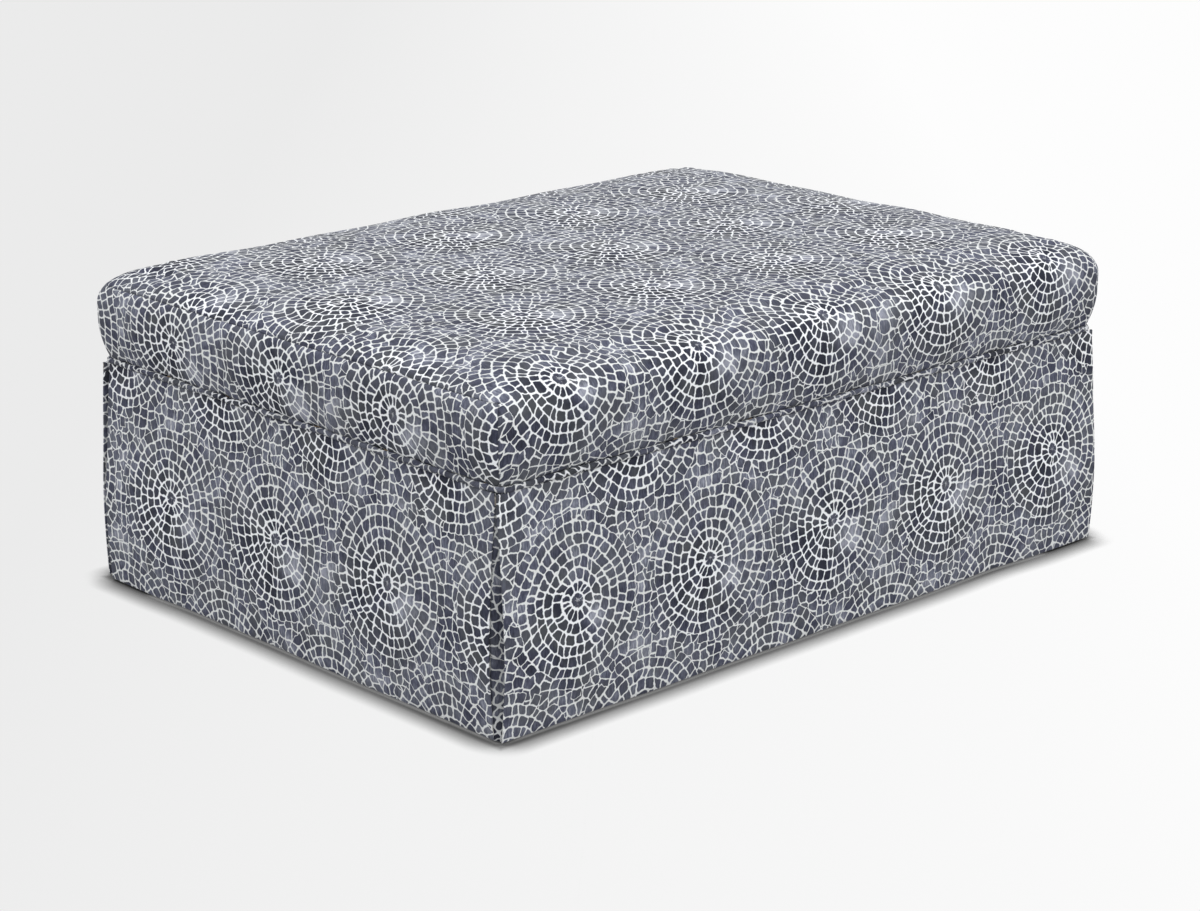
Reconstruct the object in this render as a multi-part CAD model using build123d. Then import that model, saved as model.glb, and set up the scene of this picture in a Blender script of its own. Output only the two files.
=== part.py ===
from build123d import *
import os
from math import asin, cos, radians, sin, sqrt

# Skirted ottoman coffee table: a hardwood frame on four legs, woven webbing, a crowned foam pad,
# a boxed and piped cover, and a tailored skirt with a kick pleat at each corner.
# Millimetres. X runs along the length, -Y is the front, Z is up from the floor.

# Overall form, given at the seam line where pad, piping and skirt meet
seam_length = 1176.0
seam_width = 856.0
seam_height = 332.0
seam_corner_radius = 16.0
stand_out = 12.0
total_height = 473.0

# Cloth layers and the looseness between soft pieces
cloth = 1.0
lining_cloth = 0.6
ease = 0.3

# Round corners of the soft pieces are drawn with this many flats
corner_sides = 6
quarter_turn_degrees = 90

# Pad profile: drawn in at the seam, full at the belly, soft edge, low crown, as shares of its height
pad_corner_radius = 22.0
belly_share = 0.447
edge_radius_share = 0.32
crown_rise_share = 0.085
crown_slope_degrees = 11.0
crest_share = 0.45
flank_shares = (1, 0.5, 0)
edge_shares = (0, 0.25, crest_share, 0.63, 0.82, 1)
crown_shares = (0.33, 0.67, 1)
corner_growth_share = 0.6
fibre_thickness = 12.0

# Piping, the cover's tail on the rails, and the strip that back-tacks the skirt
welt_radius = 4.0
welt_sides = 8
welt_lip_height = 14.0
tail_inset = 4.0
tail_height = 16.0
tuck_height = 3.6
tack_strip_thickness = 1.2
tack_strip_height = 12.0

# Skirt
skirt_full_share = 0.4
skirt_level_shares = (0, 0.5, 1)
skirt_hem_return = 2.5
skirt_corner_radius = 20.0
floor_gap = 3.0
hem_turn_up = 25.0
lining_short_fall = 12.0
lining_side_margin = 10.0
long_panel_set_back = 7.0
end_panel_set_back = 20.0
underlay_reach = 110.0

# Hardwood frame
rail_thickness = 22.0
rail_height = 150.0
rail_rise = 8.0
stretcher_height = 90.0
stretcher_drop = 35.0
dowel_diameter = 8.0
dowel_length = 40.0
dowel_depth_in_face = 14.0
dowel_edge = 30.0
dowel_clearance = 0.1
rail_dowel_count = 3
stretcher_dowel_count = 2
block_side = 160.0
block_height = 120.0
block_corner_cut = 10.0
block_screw_offset = 115.0
block_screw_spacing = 60.0
block_screw_length = 46.0
block_screw_seat = 15.0

# Legs, plates, fixings and glides
leg_inset = 62.0
leg_top_side = 50.0
leg_foot_side = 36.0
leg_edge_chamfer = 3.0
plate_side = 80.0
plate_thickness = 2.5
plate_corner_cut = 8.0
plate_screw_offset = 31.0
plate_screw_length = 20.0
screw_diameter = 4.5
screw_head_diameter = 8.6
screw_head_height = 2.6
bolt_diameter = 8.0
bolt_depth_in_leg = 40.0
bolt_depth_in_block = 30.0
bore_clearance = 0.1
fixing_sides = 8
glide_diameter = 28.0
glide_height = 6.0
glide_foot_diameter = 25.0

# Webbing, deck and dust cover
strap_width = 80.0
strap_thickness = 1.2
strap_fold_length = 18.0
strap_end_margin = 2.0
strap_cross_gap = 0.4
long_strap_count = 5
cross_strap_count = 7
deck_cloth_thickness = 0.6
dust_cover_thickness = 0.6
dust_cover_margin = 3.0
dust_cover_corner_cut = 112.0

# A cut runs this far past the faces that it opens
overrun = 5.0

# Places worked out from the sizes above
belly_length = seam_length + 2 * stand_out
belly_width = seam_width + 2 * stand_out
pad_height = total_height - seam_height
belly_height = seam_height + belly_share * pad_height
edge_radius = edge_radius_share * pad_height
crown_rise = crown_rise_share * pad_height
skirt_full_height = skirt_full_share * seam_height
rail_top = seam_height + rail_rise
rail_inset = tail_inset + cloth + ease
frame_length = seam_length - 2 * rail_inset
frame_width = seam_width - 2 * rail_inset
frame_corner_radius = seam_corner_radius - rail_inset
inner_length = frame_length - 2 * rail_thickness
inner_width = frame_width - 2 * rail_thickness
rail_bottom = rail_top - rail_height
stretcher_bottom = rail_top - stretcher_drop - stretcher_height
tuck_bottom = seam_height + welt_radius / 2
tuck_top = tuck_bottom + tuck_height
tail_bottom = seam_height - tail_height
lip_face = stand_out + tail_inset - ease
back_leg_face = lip_face - cloth - ease
strip_face = back_leg_face - cloth - ease
skirt_top_face = strip_face - tack_strip_thickness - ease - cloth
fold_top = seam_height - welt_radius - ease
strip_top = fold_top - cloth - ease
strip_bottom = strip_top - tack_strip_height
deck_height = rail_top + 2 * strap_thickness + ease
pad_bottom = deck_height + deck_cloth_thickness + ease
leg_top = rail_bottom - plate_thickness
leg_x = frame_length / 2 - leg_inset
leg_y = frame_width / 2 - leg_inset


def keep(name, shape):
    """Write a finished piece to its own file."""
    export_step(shape, "parts/" + name + ".step")


def group(solids):
    """Identical fixings, kept as separate solids of one piece."""
    return Compound(children=solids)


def four_corners(shape):
    """The right rear piece and its mirrored copies, by corner name."""
    front = mirror(shape, about=Plane.XZ)
    return {
        "right_rear": shape,
        "right_front": front,
        "left_rear": mirror(shape, about=Plane.YZ),
        "left_front": mirror(front, about=Plane.YZ),
    }


def keep_ends(stem, right):
    """Write a right-hand piece and its left-hand mirror."""
    keep("right_" + stem, right)
    keep("left_" + stem, mirror(right, about=Plane.YZ))


def keep_sides(stem, front):
    """Write a front piece and its rear mirror."""
    keep("front_" + stem, front)
    keep("rear_" + stem, mirror(front, about=Plane.XZ))


def rounded_level(inset, radius, height):
    """Rounded rectangle inside the belly line by an inset, at a height."""
    outline = RectangleRounded(belly_length - 2 * inset, belly_width - 2 * inset, radius)
    return Pos(0, 0, height) * outline


def corner_points(centre_x, centre_y, radius, start):
    """Points round a quarter turn about a centre, from a direction given in degrees."""
    step = quarter_turn_degrees / corner_sides
    angles = [radians(start + i * step) for i in range(corner_sides + 1)]
    return [(centre_x + radius * cos(a), centre_y + radius * sin(a)) for a in angles]


def ring(inset, radius, height):
    """The same rounded rectangle as a ring of points."""
    x, y = belly_length / 2 - inset - radius, belly_width / 2 - inset - radius
    points = []
    for turn, (side_x, side_y) in enumerate(((1, 1), (-1, 1), (-1, -1), (1, -1))):
        points += corner_points(side_x * x, side_y * y, radius, turn * quarter_turn_degrees)
    return [(*point, height) for point in points]


def stack(rings):
    """Solid through rings of points whose sides lie parallel, so that every face is flat."""
    faces = [Face(Wire.make_polygon(rings[0])), Face(Wire.make_polygon(rings[-1]))]
    for low, high in zip(rings, rings[1:]):
        for i in range(len(low)):
            faces.append(Face(Wire.make_polygon([low[i - 1], low[i], high[i], high[i - 1]])))
    return Solid(Shell(faces))


def evenly(count, span):
    """Centres of equal bays across a span."""
    return [span * ((i + 0.5) / count - 0.5) for i in range(count)]


# Pad form

def edge_contour(share, depth):
    """Inset, height and outward angle on the soft edge, from upright to the crown's slope."""
    rim = radians(90 - crown_slope_degrees)
    base = total_height - crown_rise - edge_radius * sin(rim)
    angle = share * rim
    inset = edge_radius * (1 - cos(angle)) + depth * cos(angle)
    return inset, base + (edge_radius - depth) * sin(angle), angle


def flank_contour(share, depth):
    """The same on the drawn-in side, from the tuck up to the belly."""
    drop = belly_height - tuck_top
    radius = (drop**2 + stand_out**2) / (2 * stand_out)
    angle = share * asin(-drop / radius)
    inset = radius * (1 - cos(angle)) + depth * cos(angle)
    return inset, belly_height + (radius - depth) * sin(angle), angle


def flank_contours(depth, low):
    """Contours of the side, the lowest one moved along its band to a level."""
    contours = [flank_contour(share, depth) for share in flank_shares]
    first, second = contours[0], contours[1]
    share = (low - first[1]) / (second[1] - first[1])
    contours[0] = tuple(a + share * (b - a) for a, b in zip(first, second))
    return contours


def crown_contour(share, depth):
    """The same on the crown, from the rim up to its flat middle."""
    rim = radians(90 - crown_slope_degrees)
    radius = crown_rise / (1 - sin(rim))
    angle = rim + share * radians(crown_slope_degrees)
    inset = edge_radius * (1 - cos(rim)) + radius * (cos(rim) - cos(angle)) + depth * cos(angle)
    return inset, total_height - radius + (radius - depth) * sin(angle), angle


def pad_ring(contour, depth):
    """Outline of the pad at a contour: tight corners at the seam, wide ones on the crown."""
    inset, height, angle = contour
    run = inset - depth * cos(angle)
    growth = run if angle > 0 else -run
    radius = pad_corner_radius + corner_growth_share * growth - depth * cos(angle)
    return ring(inset, radius, height)


def pad_rings(depth, low):
    """The pad's outlines from a level up, taken in by a depth square to its surface."""
    contours = flank_contours(depth, low)
    contours += [edge_contour(share, depth) for share in edge_shares]
    contours += [crown_contour(share, depth) for share in crown_shares]
    return [pad_ring(contour, depth) for contour in contours]


def build_pad():
    wrap_outer = cloth + ease
    wrap_inner = wrap_outer + fibre_thickness
    wrap = stack(pad_rings(wrap_outer, pad_bottom))
    wrap -= stack(pad_rings(wrap_inner, pad_bottom - overrun))
    keep("fibre_wrap", wrap)
    keep("foam_core", stack(pad_rings(wrap_inner + ease, pad_bottom)))


# Cover

def cover_body(depth, low):
    """Pad form with the tuck under the piping and the tail that lies on the rails."""
    tail_face = stand_out + tail_inset + depth
    tail_radius = seam_corner_radius - tail_inset - depth
    tail = [ring(tail_face, tail_radius, height) for height in (low, tuck_bottom)]
    return stack(tail + pad_rings(depth, tuck_top))


def end_block():
    """Region of the right boxing panel: outside the corner seams and below the crest seam."""
    half = belly_length / 2
    corner = pad_corner_radius * (1 - cos(radians(45)))
    low = tail_bottom - overrun
    seam_inset, seam_level, _ = flank_contour(1, 0)
    crest_inset, crest_height, crest_angle = edge_contour(crest_share, 0)
    crest_x = half - crest_inset
    out_x = overrun * cos(crest_angle)
    out_z = overrun * sin(crest_angle)
    outline = Polyline(
        (half - stand_out - rail_inset, low),
        (half - seam_inset - corner, seam_level),
        (half - corner, belly_height),
        (crest_x - out_x, crest_height - out_z),
        (crest_x + out_x, crest_height + out_z),
        (half + stand_out, crest_height + out_z),
        (half + stand_out, low),
        close=True,
    )
    return extrude(Plane.XZ * make_face(outline), belly_width, both=True)


def build_cover():
    """One panel over the front, top and rear, and a boxing panel at each end."""
    shell = cover_body(0, tail_bottom) - cover_body(cloth, tail_bottom - overrun)
    right_block = end_block()
    left_block = mirror(right_block, about=Plane.YZ)
    keep_ends("end_boxing", shell & right_block)
    keep("top_panel", shell - right_block - left_block)


def build_welt():
    """Piping: a covered cord with a flat lip, tacked to the rails all round."""
    bead_face = lip_face - welt_radius
    corner = seam_corner_radius - tail_inset + ease
    path = rounded_level(bead_face, corner + welt_radius, seam_height).wire()
    start = Plane(origin=path @ 0, z_dir=path % 0)
    bead = sweep(start * RegularPolygon(welt_radius, welt_sides), path=path)
    lip_outline = rounded_level(lip_face - cloth, corner + cloth, seam_height)
    lip_outline -= rounded_level(lip_face, corner, seam_height)
    keep("welt_piping", bead + extrude(lip_outline, welt_lip_height, dir=(0, 0, -1)))


# Skirt, drawn in outward and upward axes from the belly line

def skirt_inset(height):
    """How far the skirt's face lies inside the belly line at a height."""
    if height > skirt_full_height:
        drop, inset = strip_bottom - skirt_full_height, skirt_top_face
    else:
        drop, inset = skirt_full_height - floor_gap, skirt_hem_return
    radius = (drop**2 + inset**2) / (2 * inset)
    return radius - sqrt(radius**2 - (height - skirt_full_height) ** 2)


def skirt_bends():
    """Heights at which the hanging layers bend, with straight runs between them."""
    spans = ((floor_gap, skirt_full_height), (skirt_full_height, strip_bottom))
    return sorted({low + share * (high - low) for low, high in spans for share in skirt_level_shares})


def bent_inset(height):
    """The skirt's inset with those straight runs."""
    bends = skirt_bends()
    for low, high in zip(bends, bends[1:]):
        if low <= height <= high:
            share = (height - low) / (high - low)
            return skirt_inset(low) + share * (skirt_inset(high) - skirt_inset(low))
    return skirt_inset(height)


def sheet_levels(top, bottom):
    """Heights from a sheet's bottom edge up through its bends to its top edge."""
    return [bottom] + [z for z in skirt_bends() if bottom < z < top] + [top]


def hanging_sheet(depth, thickness, top, bottom):
    """Section of a sheet that hangs at a depth behind the skirt's face, between two heights."""
    face = [(-bent_inset(z) - depth, z) for z in sheet_levels(top, bottom)]
    back = [(along - thickness, z) for along, z in reversed(face)]
    return make_face(Polyline(*face, *back, close=True))


def upright(outer, thickness, bottom, top):
    """Section of a flat layer whose outer face has an inset from the belly line."""
    centre = Pos(-outer - thickness / 2, (bottom + top) / 2)
    return centre * Rectangle(thickness, top - bottom)


def front_side():
    """Plane of the front's sections."""
    return Plane(origin=(0, -belly_width / 2, 0), x_dir=(0, -1, 0), z_dir=(-1, 0, 0))


def right_side():
    """Plane of the right end's sections."""
    return Plane(origin=(belly_length / 2, 0, 0), x_dir=(1, 0, 0), z_dir=(0, -1, 0))


def skirt_section():
    """Skirt cloth: folded over the tack strip at the top and turned up at the hem."""
    hem_depth = cloth + ease
    hem_inset = skirt_inset(floor_gap)
    section = hanging_sheet(0, cloth, strip_bottom, floor_gap)
    section += upright(skirt_top_face, cloth, strip_bottom, fold_top)
    section += upright(skirt_top_face, back_leg_face - skirt_top_face, fold_top - cloth, fold_top)
    section += upright(back_leg_face - cloth, cloth, strip_bottom, fold_top)
    section += upright(hem_inset, hem_depth + cloth, floor_gap, floor_gap + cloth)
    section += hanging_sheet(hem_depth, cloth, floor_gap + hem_turn_up, floor_gap + cloth / 2)
    return section


def run_along(side, section, length):
    """Carry a section along one side of the table."""
    return extrude(side * section, length / 2, both=True)


def build_skirt():
    lining_depth = 2 * (cloth + ease)
    skirt = skirt_section()
    strip = upright(strip_face - tack_strip_thickness, tack_strip_thickness, strip_bottom, strip_top)
    lining = hanging_sheet(lining_depth, lining_cloth, strip_bottom - ease, floor_gap + lining_short_fall)
    for side, full, set_back, keep_pair in (
        (front_side(), belly_length, long_panel_set_back, keep_sides),
        (right_side(), belly_width, end_panel_set_back, keep_ends),
    ):
        length = full - 2 * set_back
        keep_pair("skirt_panel", run_along(side, skirt, length))
        keep_pair("tack_strip", run_along(side, strip, length))
        keep_pair("skirt_lining", run_along(side, lining, length - 2 * lining_side_margin))


def underlay_ring(height):
    """Outline of the corner sheet at a height: along one side, round the corner, and back inside."""
    depth = 2 * (cloth + ease) + lining_cloth + ease
    face = bent_inset(height) + depth
    end_x, end_y = belly_length / 2 - underlay_reach, belly_width / 2 - underlay_reach
    radius = skirt_corner_radius - face
    x, y = belly_length / 2 - skirt_corner_radius, belly_width / 2 - skirt_corner_radius
    outer = [(belly_length / 2 - face, end_y), *corner_points(x, y, radius, 0)]
    outer.append((end_x, belly_width / 2 - face))
    inner = [(belly_length / 2 - face - cloth, end_y)]
    inner += corner_points(x, y, radius - cloth, 0)
    inner.append((end_x, belly_width / 2 - face - cloth))
    return [(*point, height) for point in outer + inner[::-1]]


def build_pleat_underlays():
    """Folded cloth behind each corner opening, bent round the corner."""
    levels = sheet_levels(strip_bottom - ease, floor_gap)
    underlay = stack([underlay_ring(height) for height in levels])
    for corner, shape in four_corners(underlay).items():
        keep(corner + "_pleat_underlay", shape)


# Frame

def rod(diameter, length):
    """Small round bar along Z from the origin up, drawn with a few flats to stay light."""
    return extrude(RegularPolygon(diameter / 2, fixing_sides), length)


def bore(diameter, length, clearance):
    """Hole for such a bar, with clearance round it and at its end."""
    return rod(diameter + 2 * clearance, length + clearance)


def dowel_heights():
    """Heights of the dowels in a rail joint and in a stretcher joint."""
    rail_span = rail_height - 2 * dowel_edge
    rail_step = rail_span / (rail_dowel_count - 1)
    rail = [rail_bottom + dowel_edge + i * rail_step for i in range(rail_dowel_count)]
    stretcher_middle = stretcher_bottom + stretcher_height / 2
    stretcher = [stretcher_middle + z for z in evenly(stretcher_dowel_count, stretcher_height)]
    return rail, stretcher


def dowel_places():
    """Deep ends of all dowels in the long rails, each pointing to the middle of the table."""
    rail_heights, stretcher_heights = dowel_heights()
    rail_x = frame_length / 2 - rail_thickness / 2
    spots = [(x, z) for x in (-rail_x, rail_x) for z in rail_heights]
    spots += [(0, z) for z in stretcher_heights]
    deep = inner_width / 2 + dowel_depth_in_face
    front = [Pos(x, -deep, z) * Rot(X=-90) for x, z in spots]
    rear = [Pos(x, deep, z) * Rot(X=90) for x, z in spots]
    return front, rear


def block_screw_places():
    """Heads of the right rear corner block's screws, pointing into its two rails."""
    corner_x, corner_y = inner_length / 2, inner_width / 2
    head = block_side - block_screw_offset - block_screw_seat
    middle = rail_bottom + block_height / 2
    places = []
    for z in (middle - block_screw_spacing / 2, middle + block_screw_spacing / 2):
        places.append(Pos(corner_x - head, corner_y - block_screw_offset, z) * Rot(Y=90))
        places.append(Pos(corner_x - block_screw_offset, corner_y - head, z) * Rot(X=-90))
    return places


def plate_screw_places():
    """Heads of the right rear leg plate's screws, pointing up into the block."""
    offsets = (-plate_screw_offset, plate_screw_offset)
    return [Pos(leg_x + x, leg_y + y, leg_top) for x in offsets for y in offsets]


def screw(length):
    """Pan-head screw along Z, seated at the origin."""
    head = Pos(0, 0, -screw_head_height) * rod(screw_head_diameter, screw_head_height)
    return head + rod(screw_diameter, length)


def build_rails():
    """Four rails butted and dowelled at the corners, and a stretcher across the middle."""
    front_dowels, rear_dowels = dowel_places()
    dowels = [place * rod(dowel_diameter, dowel_length) for place in front_dowels + rear_dowels]
    hole = bore(dowel_diameter, dowel_length + dowel_clearance, dowel_clearance)
    hole = Pos(0, 0, -dowel_clearance) * hole
    holes = [place * hole for place in front_dowels + rear_dowels]
    screw_hole = bore(screw_diameter, block_screw_length, bore_clearance)
    screw_holes = []
    for place in block_screw_places():
        screw_holes += four_corners(place * screw_hole).values()
    outline = RectangleRounded(frame_length, frame_width, frame_corner_radius)
    ring = Pos(0, 0, rail_bottom) * extrude(outline, rail_height)
    rail_middle = rail_bottom + rail_height / 2
    front_band = Pos(0, -frame_width / 2, rail_middle) * Box(frame_length, 2 * rail_thickness, rail_height)
    keep_sides("rail", (ring & front_band) - holes - screw_holes)
    end_x = frame_length / 2 - rail_thickness / 2
    end_rail = Pos(end_x, 0, rail_middle) * Box(rail_thickness, inner_width, rail_height)
    keep_ends("end_rail", end_rail - holes - screw_holes)
    stretcher_middle = stretcher_bottom + stretcher_height / 2
    stretcher = Pos(0, 0, stretcher_middle) * Box(rail_thickness, inner_width, stretcher_height)
    keep("centre_stretcher", stretcher - holes)
    keep("frame_dowels", group(dowels))


def build_corner_blocks():
    """Triangular blocks screwed into the corners, which carry the leg plates."""
    x, y = inner_length / 2, inner_width / 2
    outline = Polyline(
        (x - block_corner_cut, y),
        (x - block_side, y),
        (x, y - block_side),
        (x, y - block_corner_cut),
        close=True,
    )
    block = Pos(0, 0, rail_bottom) * extrude(make_face(outline), block_height)
    pocket_length = block_screw_seat + screw_head_diameter + overrun
    pocket = Rot(X=180) * bore(screw_head_diameter, pocket_length, bore_clearance)
    for place in block_screw_places():
        block -= place * pocket
        block -= place * bore(screw_diameter, block_screw_length, bore_clearance)
    for place in plate_screw_places():
        block -= place * bore(screw_diameter, plate_screw_length, bore_clearance)
    block -= Pos(leg_x, leg_y, rail_bottom - overrun) * bore(
        bolt_diameter, bolt_depth_in_block + overrun, bore_clearance
    )
    for corner, shape in four_corners(block).items():
        keep(corner + "_corner_block", shape)


def build_screws():
    block_screws, plate_screws = [], []
    for place in block_screw_places():
        block_screws += four_corners(place * screw(block_screw_length)).values()
    for place in plate_screw_places():
        plate_screws += four_corners(place * screw(plate_screw_length)).values()
    keep("corner_block_screws", group(block_screws))
    keep("leg_plate_screws", group(plate_screws))


def leg_ring(side, height):
    """Square with its corners cut off, as a ring of points at a height."""
    half = side / 2
    cut = half - leg_edge_chamfer
    corners = ((half, cut), (cut, half), (-cut, half), (-half, cut))
    return [(x, y, height) for x, y in corners] + [(-x, -y, height) for x, y in corners]


def build_legs():
    """Tapered legs, each hung on a bolt through a steel plate, with a nylon glide underfoot."""
    at_leg = Pos(leg_x, leg_y, 0)
    bolt_bottom = leg_top - bolt_depth_in_leg
    leg = stack([leg_ring(leg_foot_side, glide_height), leg_ring(leg_top_side, leg_top)])
    leg -= Pos(0, 0, bolt_bottom - bore_clearance) * bore(
        bolt_diameter, bolt_depth_in_leg + overrun, bore_clearance
    )
    bolt_length = bolt_depth_in_leg + plate_thickness + bolt_depth_in_block
    bolt = Pos(0, 0, bolt_bottom) * rod(bolt_diameter, bolt_length)
    blank = Rectangle(plate_side, plate_side)
    blank = chamfer(blank.vertices(), plate_corner_cut)
    plate = Pos(0, 0, leg_top) * extrude(blank, plate_thickness)
    plate -= Pos(0, 0, leg_top) * bore(bolt_diameter, plate_thickness, bore_clearance)
    plate = at_leg * plate
    for place in plate_screw_places():
        plate -= place * bore(screw_diameter, plate_screw_length, bore_clearance)
    glide = Cone(
        glide_foot_diameter / 2,
        glide_diameter / 2,
        glide_height,
        align=(Align.CENTER, Align.CENTER, Align.MIN),
    )
    for corner, shape in four_corners(at_leg * leg).items():
        keep(corner + "_leg", shape)
    for corner, shape in four_corners(plate).items():
        keep(corner + "_leg_plate", shape)
    keep("leg_hanger_bolts", group(list(four_corners(at_leg * bolt).values())))
    keep("floor_glides", group(list(four_corners(at_leg * glide).values())))


# Webbing and cloths of the deck

def strap_section(crossings, full_length, inner_span, first_over):
    """Side view of a strap that passes over and under its crossings, with turned ends on the rails."""
    half = full_length / 2 - strap_end_margin
    lift = (strap_thickness + strap_cross_gap) / 2
    knots = [(-half, 0), (-inner_span / 2, 0)]
    side = lift if first_over else -lift
    for place in crossings:
        knots += [(place - strap_width / 2, side), (place + strap_width / 2, side)]
        side = -side
    knots += [(inner_span / 2, 0), (half, 0)]
    lower = [(along, rail_top + level) for along, level in knots]
    upper = [(along, z + strap_thickness) for along, z in reversed(lower)]
    section = make_face(Polyline(*lower, *upper, close=True))
    for end in (-half + strap_fold_length / 2, half - strap_fold_length / 2):
        turned = Rectangle(strap_fold_length, strap_thickness)
        section += Pos(end, rail_top + 1.5 * strap_thickness) * turned
    return section


def build_webbing():
    """Webbing straps laid both ways across the frame and woven over and under each other."""
    long_places = evenly(long_strap_count, inner_width)
    cross_places = evenly(cross_strap_count, inner_length)
    for i, y in enumerate(long_places):
        section = strap_section(cross_places, frame_length, inner_length, i % 2 == 0)
        strap = extrude(Plane.XZ * section, strap_width / 2, both=True)
        keep("long_strap_" + str(i + 1), Pos(0, y, 0) * strap)
    for i, x in enumerate(cross_places):
        section = strap_section(long_places, frame_width, inner_width, i % 2 == 1)
        strap = extrude(Plane.YZ * section, strap_width / 2, both=True)
        keep("cross_strap_" + str(i + 1), Pos(x, 0, 0) * strap)


def build_cloths():
    """Deck cloth over the webbing, and the dust cover under the rails, cut round the legs."""
    deck_length = frame_length - 2 * strap_end_margin
    deck_width = frame_width - 2 * strap_end_margin
    deck = extrude(RectangleRounded(deck_length, deck_width, frame_corner_radius), deck_cloth_thickness)
    keep("deck_cloth", Pos(0, 0, deck_height) * deck)
    sheet = Rectangle(frame_length - 2 * dust_cover_margin, frame_width - 2 * dust_cover_margin)
    for x in (-frame_length / 2, frame_length / 2):
        for y in (-frame_width / 2, frame_width / 2):
            sheet -= Pos(x, y) * Rectangle(2 * dust_cover_corner_cut, 2 * dust_cover_corner_cut)
    dust_cover = Pos(0, 0, rail_bottom) * extrude(sheet, dust_cover_thickness, dir=(0, 0, -1))
    keep("dust_cover", dust_cover)


os.makedirs("parts", exist_ok=True)
build_rails()
build_corner_blocks()
build_screws()
build_legs()
build_webbing()
build_cloths()
build_pad()
build_cover()
build_welt()
build_skirt()
build_pleat_underlays()
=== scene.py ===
import bpy
import math
import numpy as np
from functools import partial
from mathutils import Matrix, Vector


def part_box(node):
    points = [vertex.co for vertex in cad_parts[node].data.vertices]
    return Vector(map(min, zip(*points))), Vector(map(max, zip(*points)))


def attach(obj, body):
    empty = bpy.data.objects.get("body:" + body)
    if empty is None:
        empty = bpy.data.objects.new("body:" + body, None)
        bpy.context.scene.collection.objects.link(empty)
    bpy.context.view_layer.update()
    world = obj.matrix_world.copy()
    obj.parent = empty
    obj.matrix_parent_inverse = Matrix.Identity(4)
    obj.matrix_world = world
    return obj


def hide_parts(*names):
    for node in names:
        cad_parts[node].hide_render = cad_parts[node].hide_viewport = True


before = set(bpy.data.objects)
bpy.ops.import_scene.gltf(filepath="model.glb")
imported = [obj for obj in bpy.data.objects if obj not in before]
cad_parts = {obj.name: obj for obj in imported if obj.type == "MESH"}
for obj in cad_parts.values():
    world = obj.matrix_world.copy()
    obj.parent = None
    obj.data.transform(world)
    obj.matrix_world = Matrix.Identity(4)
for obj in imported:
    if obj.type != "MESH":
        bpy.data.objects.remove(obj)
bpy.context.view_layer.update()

# A skirted ottoman coffee table, put together from the frame outwards.
# Metres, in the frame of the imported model: X along the length, -Y the front, Z up from the floor.


# Hardwood frame: rails, stretcher and corner blocks.
# Planed birch boards, butted and dowelled, never seen in use, so sawn ends and pencil-pale
# faces are left bare. The dowels are turned beech.

MM = 0.001
scene = bpy.context.scene


def linear(colour):
    """Linear RGBA from an sRGB hex value."""
    parts = [int(colour[i:i + 2], 16) / 255 for i in (1, 3, 5)]
    return (*[c / 12.92 if c <= 0.04045 else ((c + 0.055) / 1.055) ** 2.4 for c in parts], 1.0)


def add_node(tree, kind, *values, out=None, **named):
    """Add a node and give its output. A second word in kind is its operation or data type, and a
    kind in capitals is an operation of a Math node. Values and outputs of other nodes go to its
    open inputs in order, or by their capitalised names; a name in small letters is a setting."""
    kind, _, mode = ("Math " + kind if kind.isupper() else kind).partition(" ")
    node = tree.nodes.new("ShaderNode" + kind)
    if mode:
        setattr(node, "operation" if hasattr(node, "operation") else "data_type", mode)
    for setting in [name for name in named if name.islower()]:
        setattr(node, setting, named.pop(setting))
    inputs = list(zip([socket for socket in node.inputs if socket.enabled], values))
    inputs += [(node.inputs[name.replace("_", " ")], value) for name, value in named.items()]
    for socket, value in inputs:
        if isinstance(value, bpy.types.NodeSocket):
            tree.links.new(value, socket)
        else:
            socket.default_value = linear(value) if isinstance(value, str) else value
    outputs = [socket for socket in node.outputs if socket.enabled]
    return node.outputs[out] if out else outputs[0] if outputs else None


def new_material(name):
    """An empty node material, and the function that adds nodes to it."""
    material = bpy.data.materials.new(name)
    material.use_nodes = True
    material.node_tree.nodes.clear()
    return material, partial(add_node, material.node_tree)


def surface(add, colour, roughness, height, strength, relief, **more):
    """End a material: fine relief from a height, the shader with its settings, and the output."""
    bump = add("Bump", Strength=strength, Distance=relief, Height=height)
    add("OutputMaterial", add("BsdfPrincipled", colour, Roughness=roughness, Normal=bump, **more))


def finish_nodes(nodes, material):
    """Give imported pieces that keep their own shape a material."""
    for name in nodes:
        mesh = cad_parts[name].data
        mesh.materials.clear()
        mesh.materials.append(material)


def wood(name, pale, dark, grain_width, roughness, grain_axis):
    """Planed timber with growth rings stretched along the board, in fine pores and soft bands."""
    material, add = new_material(name)
    stretch = [1 / grain_width] * 3
    stretch[grain_axis] /= 24
    along = add("Mapping", add("TexCoord", out="Object"), Scale=stretch)
    bands = add("TexNoise", along, 0.35, 4.0, Distortion=0.6)
    pores = add("TexNoise", along, 3.0, 2.0)
    mixed = add("ADD", bands, add("MULTIPLY", pores, 0.25))
    colour = add("Mix RGBA", add("MapRange", mixed, 0.45, 0.8), pale, dark)
    surface(add, colour, roughness, pores, 0.25, 0.3 * MM)
    return material


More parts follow.
